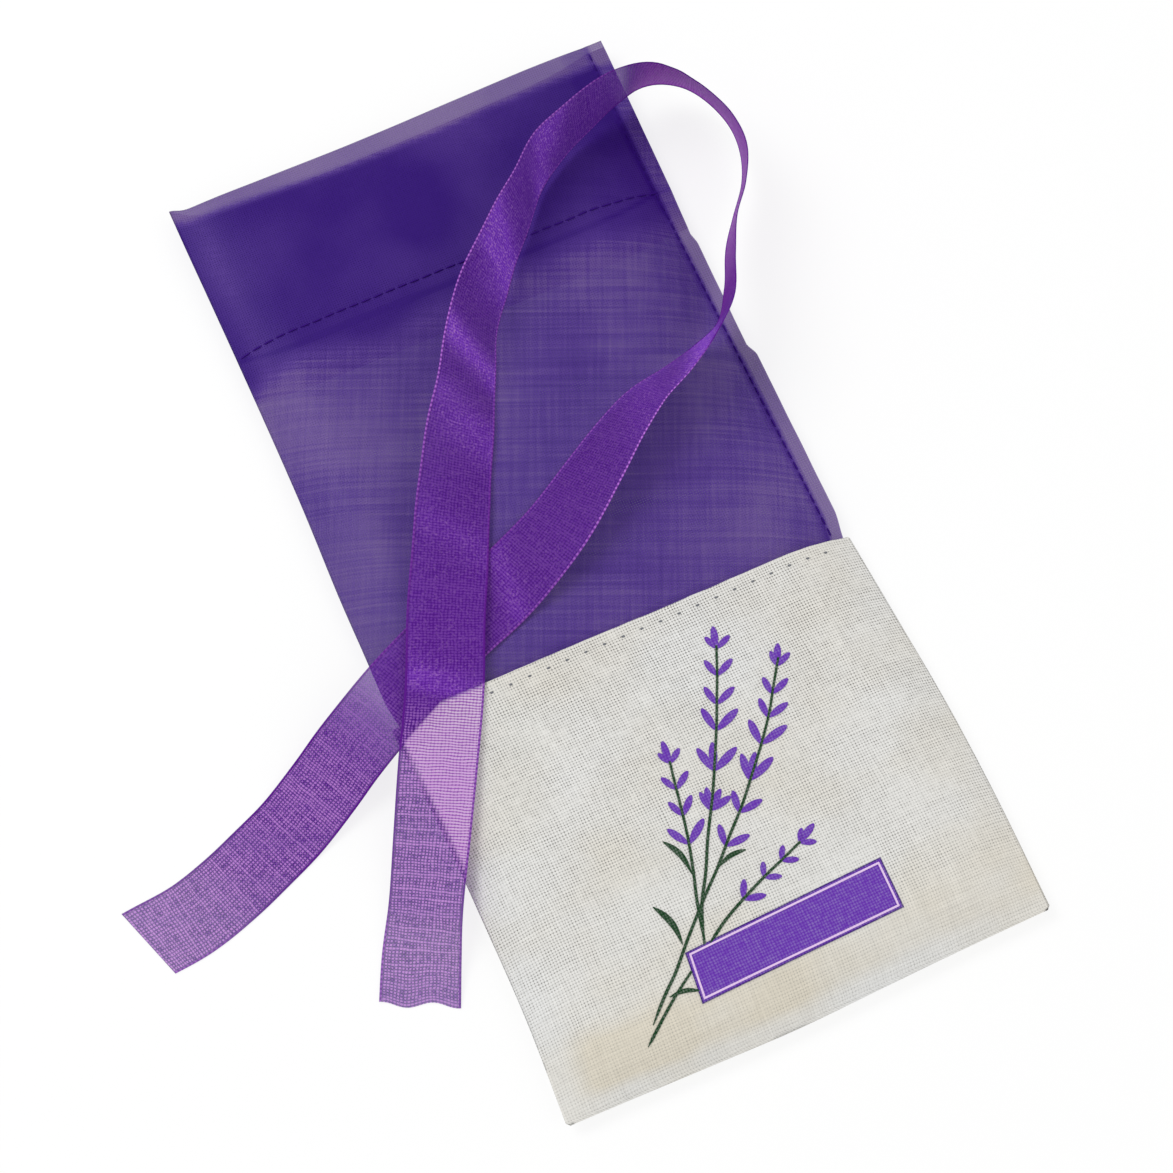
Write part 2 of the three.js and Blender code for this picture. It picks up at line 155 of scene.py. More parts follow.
# Places along the route, by point, and how closely the ribbon's threads are drawn together there
RIBBON_DENSE = [(0, 0.35), (1.5, 0.5), (2.5, 0.75), (4.5, 0.9), (7, 0.85), (8, 0.4), (11, 0.4), (13, 0.1),
                (16, 0.2), (18, 1.2), (20, 2.0), (27, 2.0), (29, 0.6), (31, 0.2), (35, 0.15), (37, 0.4),
                (39.4, 0.6), (42, 0.6), (43, 0.55), (43.6, 0.35), (45, 0.4)]
# Places where the ribbon lies open, so that its threads show, with painted highlights on them and painted
# shade between them
RIBBON_OPEN = [(0, 1.0), (1.5, 0.95), (3, 0.75), (5.6, 0.7), (8.0, 0.0), (40.0, 0.0), (41.0, 1.0),
               (45, 1.0)]
# Painted highlights (gleams) across the ribbon: route point, half length in millimetres and strength
RIBBON_GLEAMS = [(11.2, 2.5, 0.25), (15.2, 8.0, 0.3), (17.0, 5.5, 0.9), (31.0, 4.5, 0.7),
                 (31.5, 26.0, 0.25), (32.75, 6.5, 1.0), (34.5, 3.2, 0.95), (35.75, 5.0, 0.4),
                 (37.5, 3.5, 0.15), (40.0, 4.0, 0.35)]
# Lower edge of the ribbon's lower run, which lies between its upper run and the pocket
LOWER_RUN_EDGE = [(-48.4, 34.5), (-32.9, 41.9)]
# Steps between route points and along the whole ribbon
ROUTE_FINE = 12
RIBBON_STEPS = 460
# Waves of the ribbon's upper run, its lowest height and the cut of its two ends, in millimetres
RIBBON_WAVED = (235.0, 370.0)
RIBBON_WAVE = 15.5
RIBBON_WAVE_HEIGHT = 0.13
RIBBON_LOWEST = 0.12
END_SLANT = 1.9
END_CURL = 0.5

# Stems of the printed spray from tip to foot, in millimetres
STEMS = {
    "middle": [(12.8, 28.7), (10.5, 23.4), (8.4, 19.0), (6.7, 15.4), (3.8, 9.8), (0.2, 3.1), (-4.0, -3.9),
               (-7.0, -9.5), (-10.1, -14.6), (-12.8, -21.3)],
    "right": [(22.2, 21.8), (18.9, 17.0), (16.3, 13.1), (12.9, 8.8), (9.2, 4.6), (4.2, -0.9), (-0.4, -5.3),
              (-4.8, -9.7), (-8.5, -13.0), (-15.2, -19.4), (-19.3, -23.6), (-22.9, -26.7), (-26.8, -30.5)],
    "left": [(-4.3, 12.0), (-5.1, 8.2), (-6.0, 3.5), (-7.2, -2.1), (-9.0, -8.6), (-10.6, -13.6),
             (-12.5, -21.3)],
    "low": [(10.9, -11.3), (6.7, -12.9), (3.1, -14.2), (-1.6, -16.1), (-7.4, -18.8), (-11.6, -21.4)],
    "low_foot": [(-16.7, -24.6), (-21.5, -27.7), (-29.1, -33.5)],
}
# Whorls of buds on each flowering stem: distance from the tip, bud length and number of inner buds
WHORLS = {
    "middle": [(0.7, 3.2, 1), (6.0, 3.9, 0), (11.5, 4.2, 0), (16.5, 5.2, 0), (24.2, 5.6, 1),
               (31.7, 4.1, 2)],
    "right": [(1.8, 3.2, 1), (7.3, 3.8, 0), (11.9, 4.2, 0), (17.1, 5.4, 0), (24.3, 5.6, 1), (30.6, 4.4, 0),
              (37.4, 4.4, 0)],
    "left": [(0.5, 3.0, 1), (5.6, 3.7, 0), (10.7, 3.8, 0), (16.1, 5.0, 0)],
    "low": [(0.4, 2.8, 1), (5.1, 2.9, 0), (9.5, 2.9, 0), (15.0, 3.8, 0)],
}
# Foot and tip of each leaf
LEAVES = [((-9.4, -8.8), (-11.7, -1.3)), ((-4.6, -9.7), (1.3, -8.7)), ((-16.2, -19.7), (-18.2, -11.4)),
          ((-22.1, -27.2), (-16.8, -28.3))]
# Corners of the plaque, its half size and how far inside its border lies
PLAQUE = [(-16.3, -21.3), (22.5, -19.9), (22.3, -29.5), (-17.2, -30.5)]
PLAQUE_HALF = (19.4, 4.9)
BORDER_INSET = 0.62
# Half widths of the printed lines
STEM_HALF = 0.26
BORDER_HALF = 0.19
OUTLINE_HALF = 0.12
# Heights of the inks above the cloth, so that each lies on the ones before it
PLAQUE_LIFT = 0.1
BUD_LIFT = 0.12
OUTLINE_LIFT = 0.13
STEM_LIFT = 0.14
BORDER_LIFT = 0.16


def smoothstep(t):
    t = np.clip(t, 0.0, 1.0)
    return t * t * (3.0 - 2.0 * t)


def lerp(a, b, t):
    return a + (b - a) * t


def bell(t):
    return np.exp(-(t**2))


def rounding(distance, reach):
    """Rises from 0 at an edge to 1 at that reach, as a flat crown."""
    inside = 1.0 - np.clip(distance / reach, 0.0, 1.0)
    return 1.0 - inside * inside


def ripple(x, y, size, seed):
    """Smooth noise from -1 to 1 over cloth, with waves of that size in millimetres."""
    x, y = np.broadcast_arrays(np.asarray(x, float), np.asarray(y, float))
    flat = [noise.noise(Vector((a / size, b / size, seed))) for a, b in zip(x.ravel(), y.ravel())]
    return np.array(flat).reshape(x.shape)


def eased(count, dense):
    """Shares from 0 to 1 that stand closer together at both ends."""
    t = np.linspace(0.0, 1.0, count)
    return lerp(t, 0.5 - 0.5 * np.cos(np.pi * t), dense)


def stitches(start, stop, pitch, reach, count):
    """Where each stitch of a row lies along it."""
    return [np.linspace(a, a + reach, count) for a in np.arange(start, stop, pitch)]


def run_along(line):
    """Distance gone along a line at each of its points."""
    return np.concatenate([[0.0], np.cumsum(np.linalg.norm(np.diff(line, axis=0), axis=1))])


def unit(vectors):
    return vectors / np.linalg.norm(vectors, axis=1)[:, None]


def axes_along(line):
    """Unit vectors along a line, level to its side, and square to both."""
    along = unit(np.gradient(line, axis=0))
    side = unit(np.cross(along, (0.0, 0.0, 1.0)))
    return along, side, np.cross(side, along)


def spline(points, per_span):
    """A centripetal curve through the points."""
    knots = np.asarray(points, float)
    padded = np.vstack([2 * knots[0] - knots[1], knots, 2 * knots[-1] - knots[-2]])
    out = []
    for p0, p1, p2, p3 in zip(padded, padded[1:], padded[2:], padded[3:]):
        d0, d1, d2 = (math.sqrt(np.linalg.norm(b - a)) for a, b in ((p0, p1), (p1, p2), (p2, p3)))
        m1 = ((p1 - p0) / d0 - (p2 - p0) / (d0 + d1) + (p2 - p1) / d1) * d1
        m2 = ((p2 - p1) / d1 - (p3 - p1) / (d1 + d2) + (p3 - p2) / d2) * d1
        for t in np.arange(per_span) / per_span:
            out.append(
                (2 * t**3 - 3 * t**2 + 1) * p1
                + (t**3 - 2 * t**2 + t) * m1
                + (3 * t**2 - 2 * t**3) * p2
                + (t**3 - t**2) * m2
            )
    return np.array(out + [knots[-1]])


def profile(points):
    """A function of one measure, drawn smoothly through (measure, value) points."""
    curve = spline(points, 8)
    return lambda at: np.interp(at, curve[:, 0], curve[:, 1])


pocket_left = profile(POCKET_LEFT)
pocket_right = profile(POCKET_RIGHT)
pocket_foot = profile(POCKET_FOOT)
neck_left = profile(NECK_LEFT)
neck_seam = profile(NECK_SEAM)


def raw_edge(y):
    """The seam allowance's cut edge, with its two uneven steps."""
    return np.interp(y, [p[0] for p in RAW_EDGE], [p[1] for p in RAW_EDGE])


def pocket_top(x):
    return TOP_EDGE_Y + 0.16 * ripple(x, 0, 4.0, 3.1) + 0.25 * ripple(x, 0, 15.0, 8.3)


def pocket_sides(y, inset):
    """The pocket's left and right edges, rounded at the bottom corners."""
    rise = np.clip(y - pocket_foot(47.0), 0.0, CORNER_ROUND)
    corner = CORNER_ROUND - np.sqrt(CORNER_ROUND**2 - (CORNER_ROUND - rise) ** 2)
    return pocket_left(y) + corner + inset, pocket_right(y) - corner - inset


def pocket_swell(x, y, inset=0.0):
    left, right = pocket_sides(y, inset)
    return rounding(np.minimum(x - left, right - x), SIDE_ROUND) * rounding(y - pocket_foot(x), FOOT_ROUND)


def pocket_front(x, y, inset=0.0):
    """Height of the pocket's front cloth."""
    swell = pocket_swell(x, y, inset)
    creases = 0.5 * ripple(x, y, 26.0, 1.7) + 0.26 * ripple(x * 0.45 + y, y * 0.5 - x * 0.3, 11.0, 5.2)
    seam = np.minimum(pocket_right(y) - x, y - pocket_foot(x))
    pucker = 0.2 * np.exp(-np.abs(seam) / 3.0) * ripple(x, y, 2.6, 4.4)
    below = pocket_top(x) - TOPSTITCH_INSET - y
    groove = -0.22 * bell(below / 0.75) * (1.0 - 0.45 * np.cos(2 * np.pi * x / TOPSTITCH_PITCH))
    height = EDGE_HEIGHT + (POCKET_LOFT - inset - EDGE_HEIGHT) * swell
    return height + (creases + groove) * swell**2 + pucker * smoothstep(np.abs(seam))


def pocket_back(x, y, inset=0.0):
    """Height of the pocket's back cloth, which lies on the table."""
    swell = pocket_swell(x, y, inset)
    return EDGE_HEIGHT - (EDGE_HEIGHT - inset) * swell + 0.12 * swell * (1.0 + ripple(x, y, 17.0, 9.1))


def neck_clear(y):
    """0 inside the pocket and 1 where the neck has come out of it."""
    return smoothstep((y - FOLD_Y + 1.0) / 7.0)


def neck_mouth(y):
    """0 down the neck and 1 at its mouth, where the two sides lie closer together."""
    return smoothstep((y - 120.0) / 40.0)


def neck_edge(y):
    return EDGE_HEIGHT + 1.2 * neck_mouth(y)


def neck_sides(y):
    out = neck_clear(y)
    left = lerp(pocket_left(y) + 1.7, neck_left(y), out)
    seam = lerp(neck_seam(y) - 0.8, neck_seam(y), out)
    return left, seam, lerp(raw_edge(y) - 0.9, raw_edge(y), out)


def neck_swell(x, y):
    left, seam, _ = neck_sides(y)
    return rounding(x - left, FOLD_ROUND) * rounding(seam - x, SEAM_ROUND)


def neck_front(x, y, inset=0.0):
    """Height of the neck's front cloth."""
    swell = neck_swell(x, y)
    top = lerp(POCKET_LOFT - 1.6, NECK_LOFT - 0.9 * neck_mouth(y), neck_clear(y)) - inset
    edge = neck_edge(y)
    waves = 0.2 * ripple(x, y, 27.0, 2.2) + 0.12 * ripple(x * 1.4, y * 0.5, 11.0, 6.6) - 0.12
    hem = -0.15 * bell((y - HEM_Y) / 1.2)
    return edge + (top - edge) * swell + (waves + hem) * swell**2 * neck_clear(y)


def neck_back(x, y, inset=0.0):
    """Height of the neck's back cloth."""
    swell = neck_swell(x, y)
    low = lerp(1.6, 0.15, neck_clear(y)) + inset
    edge = neck_edge(y)
    return edge - (edge - low) * swell + 0.1 * swell * (1.0 + ripple(x, y, 19.0, 7.7))


class Cloth:
    """Gathers grids of points in millimetres into one mesh with a cloth map in metres."""

    def __init__(self):
        self.points = []
        self.faces = []
        self.map = []
        self.tone = []
        # Per point: on the ribbon, the strength of its painted gleams, below 0 where it lies open; on the
        # cotton, its stain
        self.gleam = []

    def grid(self, points, cloth, tone=0.0, gleam=0.0):
        rows, columns = points.shape[:2]
        start = len(self.points)
        self.points.extend((points.reshape(-1, 3) * MM).tolist())
        self.map.extend((np.asarray(cloth, float).reshape(-1, 2) * MM).tolist())
        self.tone.extend(np.broadcast_to(tone, (rows, columns)).ravel().tolist())
        self.gleam.extend(np.broadcast_to(gleam, (rows, columns)).ravel().tolist())
        for r in range(rows - 1):
            for c in range(columns - 1):
                a = start + r * columns + c
                self.faces.append((a, a + 1, a + columns + 1, a + columns))

    def tube(self, line, radii):
        """A round thread along a line, closed where its radius is 0."""
        _, side, up = axes_along(line)
        turn = np.linspace(0.0, 2.0 * np.pi, THREAD_SIDES + 1)[None, :, None]
        ring = np.cos(turn) * side[:, None, :] + np.sin(turn) * up[:, None, :]
        points = line[:, None, :] + ring * radii[:, None, None]
        cloth = np.stack(np.broadcast_arrays(turn[:, :, 0], run_along(line)[:, None]), axis=-1)
        self.grid(points, cloth)

    def build(self, name, material):
        mesh = bpy.data.meshes.new(name)
        mesh.from_pydata(self.points, [], self.faces)
        layer = mesh.uv_layers.new(name="cloth")
        corners = np.zeros(len(mesh.loops), np.int32)
        mesh.loops.foreach_get("vertex_index", corners)
        layer.data.foreach_set("uv", np.array(self.map, np.float32)[corners].ravel())
        for layer_name, values in (("tone", self.tone), ("gleam", self.gleam)):
            shading = mesh.attributes.new(layer_name, "FLOAT", "POINT")
            shading.data.foreach_set("value", np.array(values, np.float32))
        rest = mesh.attributes.new("rest", "FLOAT_VECTOR", "POINT")
        rest.data.foreach_set("vector", np.array(self.points, np.float32).ravel())
        welded = bmesh.new()
        welded.from_mesh(mesh)
        bmesh.ops.remove_doubles(welded, verts=welded.verts, dist=1e-6)
        bmesh.ops.dissolve_degenerate(welded, dist=1e-7, edges=welded.edges)
        welded.to_mesh(mesh)
        welded.free()
        mesh.shade_smooth()
        mesh.materials.append(material)
        piece = bpy.data.objects.new(name, mesh)
        bpy.context.scene.collection.objects.link(piece)
        return piece


def srgb(red, green, blue):
    """A colour as a display shows it, from 0 to 255, in linear light."""
    def linear(c):
        c /= 255.0
        return c / 12.92 if c <= 0.04045 else ((c + 0.055) / 1.055) ** 2.4
    return tuple(linear(c) for c in (red, green, blue))


class Shader:
    """A material's nodes, added one at a time and linked as they are named."""

    def __init__(self, name):
        self.material = bpy.data.materials.new(name)
        self.material.use_nodes = True
        self.tree = self.material.node_tree
        self.surface = self.tree.nodes["Principled BSDF"]
        self.uv = self.add("UVMap", uv_map="cloth").outputs[0]
        split = self.add("SeparateXYZ", {0: self.uv})
        self.u, self.v = split.outputs[0], split.outputs[1]

    def add(self, kind, inputs=None, **settings):
        node = self.tree.nodes.new("ShaderNode" + kind)
        for key, value in settings.items():
            setattr(node, key, value)
        for key, value in (inputs or {}).items():
            self.feed(node.inputs[key], value)
        return node

    def feed(self, socket, value):
        if isinstance(value, bpy.types.NodeSocket):
            self.tree.links.new(value, socket)
        elif socket.type == "RGBA":
            socket.default_value = (*value[:3], 1.0)
        else:
            socket.default_value = value

    def set(self, **inputs):
        for key, value in inputs.items():
            self.feed(self.surface.inputs[key.replace("_", " ")], value)

    def math(self, operation, a, b=0.0, clamp=False):
        return self.add("Math", {0: a, 1: b}, operation=operation, use_clamp=clamp).outputs[0]

    def times(self, a, b, clamp=False):
        return self.math("MULTIPLY", a, b, clamp)

    def plus(self, a, b, clamp=False):
        return self.math("ADD", a, b, clamp)

    def given(self, name):
        """A value that the mesh holds at each of its points."""
        return self.add("Attribute", attribute_name=name).outputs["Fac"]

    def scaled(self, value, gain, lift, clamp=False):
        node = self.add("Math", {0: value, 1: gain, 2: lift}, operation="MULTIPLY_ADD", use_clamp=clamp)
        return node.outputs[0]

    def mix(self, share, a, b, blend="MIX"):
        node = self.add("Mix", {0: share, 6: a, 7: b}, data_type="RGBA", blend_type=blend)
        return node.outputs[2]

    def thread(self, along, pitch):
        """1 on the crown of each thread and 0 between threads."""
        return self.math("ABSOLUTE", self.math("SINE", self.times(along, math.pi / pitch)))

    def strands(self, along, stray, pitch, seed):
        """The crown of each thread, and how brightly that thread is lit."""
        place = self.math("DIVIDE", self.plus(along, stray), pitch)
        crown = self.thread(place, 1.0)
        number = self.plus(self.math("FLOOR", place), seed)
        lit = self.add("TexWhiteNoise", {"W": number}, noise_dimensions="1D").outputs["Value"]
        return crown, self.times(crown, self.math("POWER", lit, 1.5))

    def plain_weave(self, pitch):
        """1 on the crown of the thread that passes over and 0 at its sides and ends, and 1 in the pores."""
        places = []
        for along, grain in ((self.u, (0.0024, 0.009, 6.6)), (self.v, (0.009, 0.0024, 3.2))):
            stray = self.scaled(self.noise(*grain), 0.0006, -0.0003)
            places.append(self.math("DIVIDE", self.plus(along, stray), pitch))
        over = self.plus(*(self.math("FLOOR", place) for place in places))
        over = self.math("FLOORED_MODULO", over, 2.0)
        rise = [self.thread(place, 1.0) for place in places]
        warp, weft = (self.times(a, self.scaled(b, 0.45, 0.55)) for a, b in (rise, rise[::-1]))
        crown = self.add("Mix", {0: over, 2: warp, 3: weft}, data_type="FLOAT").outputs[0]
        pore = self.times(*(self.scaled(x, -1.25, 1.0, True) for x in rise))
        return crown, pore

    def noise(self, across, lengthwise, seed, detail=2.0, source=None):
        """Noise whose grain has these sizes in metres along u and v, or along the source's axes."""
        grain = (1.0 / across, 1.0 / lengthwise, 0.0)
        vector = self.add(
            "VectorMath", {0: source or self.uv, 1: grain, 2: (0.0, 0.0, seed)}, operation="MULTIPLY_ADD"
        )
        node = self.add("TexNoise", {"Vector": vector.outputs[0], "Scale": 1.0, "Detail": detail})
        return node.outputs[0]

    def bump(self, height, strength, distance):
        node = self.add("Bump", {"Height": height, "Strength": strength, "Distance": distance})
        self.set(Normal=node.outputs[0])


def cotton_cloth(colours, sizes):
    """Plain-weave undyed cotton, with pores between its threads, darkened as painted shade, and slubs along
    them.
    """
    s = Shader("cotton_cloth")
    crown, pore = s.plain_weave(sizes.cotton_pitch)
    pore = s.plus(s.times(pore, 1.3), s.scaled(crown, -1.0, 0.55, True), clamp=True)
    slub = s.plus(s.noise(0.0006, 0.012, 1.3), s.noise(0.012, 0.0006, 4.1))
    patchy = s.scaled(s.noise(0.012, 0.008, 5.3, 1.0), 0.6, -0.34)
    patchy = s.plus(s.noise(0.0011, 0.0011, 9.4), patchy)
    broad = s.noise(0.034, 0.026, 7.9, 3.0)
    smooth = s.given("tone")
    # On the cotton the gleam attribute holds the stain
    stain = s.times(s.given("gleam"), broad)
    warmth = s.plus(s.scaled(broad, 1.8, -0.75, True), s.times(stain, 1.4))
    tint = s.mix(warmth, colours.cotton, colours.cotton_shade)
    level = s.scaled(slub, 0.16, 0.84)
    tint = s.mix(1.0, tint, s.add("CombineColor", {i: level for i in range(3)}).outputs[0], "MULTIPLY")
    # Painted shade: the pores are darkened towards the pore colour, less on the smoother lower cloth
    depth = s.times(pore, s.times(patchy, 1.6), clamp=True)
    depth = s.times(depth, s.scaled(smooth, -0.75, 1.15))
    s.set(
        Base_Color=s.mix(depth, tint, colours.cotton_pore_shade),
        Roughness=s.scaled(slub, -0.12, 1.0),
        Specular_IOR_Level=0.15,
        Sheen_Weight=0.1,
    )
    s.bump(s.plus(crown, slub), 0.5, 0.00014)
    return s.material


def organza_cloth(colours, sizes):
    """Sheer purple organza: crossed fine threads with open gaps, in lighter and darker clouds, the threads
    painted a little lighter and the gaps darker as painted highlight and painted shade.
    """
    s = Shader("organza_cloth")
    warp = s.thread(s.u, sizes.organza_pitch)
    weft = s.thread(s.v, sizes.organza_pitch)
    cover = s.math("MAXIMUM", warp, weft)
    tone = s.given("tone")
    rest = s.add("Attribute", attribute_name="rest").outputs["Vector"]
    turn = {"Vector": rest, "Angle": STREAK_TURN}
    turned = s.add("VectorRotate", turn, rotation_type="Z_AXIS").outputs[0]
    upright = s.noise(0.00045, 0.014, 2.4, 2.0, turned)
    streak = s.plus(s.times(upright, 0.6), s.noise(0.024, 0.00045, 5.5, 2.0, turned))
    calm = s.scaled(s.math("ABSOLUTE", tone), -1.3, 1.0, True)
    streak = s.times(s.scaled(streak, 1.6, -1.28), calm)
    cloud = s.noise(0.022, 0.03, 8.8, 4.0)
    shade = s.plus(s.scaled(cloud, 1.4, -0.7), s.plus(tone, streak))
    # Painted highlight on the threads and painted shade in the gaps
    shade = s.plus(shade, s.scaled(cover, 0.35, -0.24))
    body = s.mix(s.times(shade, 1.0, clamp=True), colours.organza, colours.organza_light)
    hidden = s.scaled(cover, 0.35, sizes.organza_cover)
    s.set(
        Base_Color=s.mix(s.times(shade, -1.0, clamp=True), body, colours.organza_dark),
        Roughness=s.scaled(cover, -0.15, 0.6),
        Specular_IOR_Level=0.25,
        Specular_Tint=(0.62, 0.5, 0.9, 1.0),
        Alpha=s.plus(hidden, s.times(tone, -0.12), clamp=True),
    )
    s.bump(s.plus(cover, streak), 0.3, 0.00008)
    return s.material


def ribbon_cloth(colours, sizes):
    """Sheer ribbon: painted gleams where it is drawn tight, its lit threads showing as painted highlights,
    with painted shade between them, where it lies open, and painted paler over the cotton, as if lit from
    behind.
    """
    s = Shader("ribbon_cloth")
    stray = s.scaled(s.noise(0.004, 0.003, 6.1, 1.0), 0.0006, -0.0003)
    weft, weft_lit = s.strands(s.v, stray, sizes.ribbon_pitch, 3.0)
    warp, warp_lit = s.strands(s.u, stray, sizes.ribbon_pitch * 1.2, 7.0)
    cover = s.math("MAXIMUM", weft, warp)
    glint = s.noise(0.00046, 0.00036, 3.3, 1.0)
    # Patches that break up the painted gleams
    painted_gleam_patches = s.noise(0.02, 0.006, 1.9, 1.0)
    # The gleam attribute: strength of the painted gleams; below 0, how far the ribbon lies open
    shine = s.given("gleam")
    gleam = s.times(shine, s.scaled(painted_gleam_patches, 1.4, 0.25), clamp=True)
    bare = s.times(shine, -1.0, clamp=True)
    dense = s.given("tone")
    tight = s.times(dense, 1.6, clamp=True)
    # Over the cotton the ribbon is painted paler, as if lit from behind
    pale = s.times(dense, -1.0, clamp=True)
    half = sizes.ribbon_width / 2.0
    across = s.math("SUBTRACT", s.u, half)
    from_edge = s.math("SUBTRACT", half, s.math("ABSOLUTE", across))
    edge = s.math("LESS_THAN", from_edge, sizes.selvage)
    # Painted glints on the woven edge, stronger on the raised edge of a leaning ribbon
    raised = s.scaled(s.math("GREATER_THAN", across, 0.0), 0.55, 0.45)
    raised = s.times(raised, s.math("SUBTRACT", 1.0, tight))
    dash = s.times(s.math("POWER", s.thread(s.v, sizes.selvage_pitch), 2.0), raised)
    dash = s.plus(dash, s.times(raised, 0.15), clamp=True)
    mottle = s.scaled(s.noise(0.001, 0.0008, 8.2), 3.4, -1.1, True)
    # How brightly each thread is painted as lit
    threads = s.math("MAXIMUM", weft_lit, s.times(warp_lit, 0.6))
    knots = s.times(weft, warp)
    weave = s.times(knots, s.scaled(mottle, 0.55, 0.4))
    weave = s.plus(s.times(weave, 1.12), s.times(threads, 0.36))
    lit = s.times(s.scaled(weave, 2.4, -0.75, True), s.scaled(bare, 0.6, 0.1))
    spark = s.plus(s.scaled(gleam, 0.6, 0.2), s.times(bare, 0.1))
    spark = s.times(s.scaled(glint, 4.0, -2.0, True), spark)
    # Painted shade between the lit threads, in the shade colour
    gaps = s.math("MAXIMUM", s.scaled(weave, -2.4, 1.15, True), s.scaled(glint, -4.0, 1.75, True))
    deep = s.math("SUBTRACT", s.scaled(bare, 0.5, 0.4), pale)
    dark = s.times(gaps, deep, clamp=True)
    body = s.mix(s.times(gleam, 0.9), colours.ribbon, colours.ribbon_gleam)
    body = s.mix(s.math("SUBTRACT", dense, 1.0, clamp=True), body, colours.ribbon_drawn)
    ridge = s.plus(s.scaled(weft, 0.9, -0.45), knots)
    ridge = s.times(ridge, s.scaled(mottle, 0.7, 0.75), clamp=True)
    # Over the cotton: pale on the thread crowns, as painted light from behind
    body = s.mix(pale, body, s.mix(ridge, colours.ribbon_drawn, colours.ribbon_pale))
    body = s.mix(dark, body, colours.ribbon_shade)
    # Painted highlights: the lit threads and sparkles take the glint colour
    body = s.mix(s.math("MAXIMUM", lit, spark), body, colours.ribbon_glint)
    # Painted glints on the woven edge
    rim = s.mix(dash, colours.selvage, colours.selvage_glint)
    alpha = s.plus(s.scaled(cover, 0.12, sizes.ribbon_cover), s.times(gleam, 0.15))
    alpha = s.plus(alpha, s.times(s.math("MAXIMUM", dense, 0.0), 0.24))
    alpha = s.plus(alpha, s.times(bare, 0.07))
    s.set(
        Base_Color=s.mix(edge, body, rim),
        Roughness=s.scaled(glint, 0.3, 0.35),
        Specular_IOR_Level=0.05,
        Specular_Tint=(0.75, 0.45, 0.95, 1.0),
        Alpha=s.math("MAXIMUM", alpha, s.times(edge, 0.93), clamp=True),
    )
    s.bump(s.plus(cover, s.plus(glint, dash)), 0.5, 0.00012)
    return s.material


def sewing_thread(name, colour):
    """Twisted sewing thread: dark between its plies, as painted shade in the grooves."""
    s = Shader(name)
    # Painted shade in the grooves between the plies
    twist = s.thread(s.plus(s.v, s.times(s.u, 0.06)), 0.00035)
    s.set(
        Base_Color=s.mix(twist, tuple(c * 0.55 for c in colour), colour),
        Roughness=s.scaled(twist, 0.15, 0.6),
        Specular_IOR_Level=0.03,
    )
    s.bump(twist, 0.4, 0.00005)
    return s.material


def printed_ink(name, colour, colours, sizes):
    """Ink on the cotton's threads, thinner on their crowns and darker in the pores, where the shade is
    painted.
    """
    s = Shader(name)
    crown, pore = s.plain_weave(sizes.cotton_pitch)
    # Painted shade: the ink is darker in the pores
    deep = tuple(c * 0.5 for c in colour)
    worn = s.times(s.noise(0.0009, 0.0009, 2.7), crown)
    face = s.mix(s.scaled(worn, 0.34, -0.05), colour, colours.cotton)
    s.set(
        Base_Color=s.mix(s.times(pore, 0.5), face, deep),
        Roughness=s.scaled(worn, 0.2, 0.75),
        Specular_IOR_Level=0.15,
    )
    s.bump(crown, 0.4, 0.0001)
    return s.material


def pale_floor(colours):
    s = Shader("pale_floor")
    grain = s.noise(0.004, 0.004, 1.1)
    s.set(
        Base_Color=s.mix(s.times(grain, 0.1), colours.floor, tuple(c * 0.9 for c in colours.floor)),
        Roughness=s.scaled(grain, 0.1, 0.85),
        Specular_IOR_Level=0.1,
        Emission_Color=(1.0, 1.0, 1.0, 1.0),
        Emission_Strength=0.78,
    )
    return s.material


def length(name, about, default):
    return bpy.props.FloatProperty(
        name=name, description=about, default=default, unit="LENGTH", precision=5
    )


def share(name, about, default):
    return bpy.props.FloatProperty(
        name=name, description=about, default=default, subtype="FACTOR", min=0.0, max=1.0
    )


def colour(name, about, *display):
    return bpy.props.FloatVectorProperty(
        name=name, description=about, default=srgb(*display), subtype="COLOR", size=3, min=0.0, max=1.0
    )


class SachetSizes(bpy.types.PropertyGroup):
    """Sizes of weaves, threads and the ribbon."""

    cotton_pitch: length("Cotton pitch", "Distance between the pocket's threads", 0.00055)
    organza_pitch: length("Organza pitch", "Distance between the neck's threads", 0.0005)
    organza_cover: share("Organza cover", "How much one layer of organza hides in its gaps", 0.6)
    ribbon_width: length("Ribbon width", "Width of the ribbon from edge to edge", 0.0148)
    ribbon_pitch: length("Ribbon pitch", "Distance between the ribbon's threads", 0.00054)
    ribbon_cover: share("Ribbon cover", "How much the ribbon hides in its gaps", 0.62)
    selvage: length("Selvage", "Width of the ribbon's woven edge", 0.00042)
    selvage_pitch: length("Selvage pitch", "Distance between the glints of the woven edge", 0.0009)
    thread: length("Thread", "Radius of the sewing threads", 0.00016)


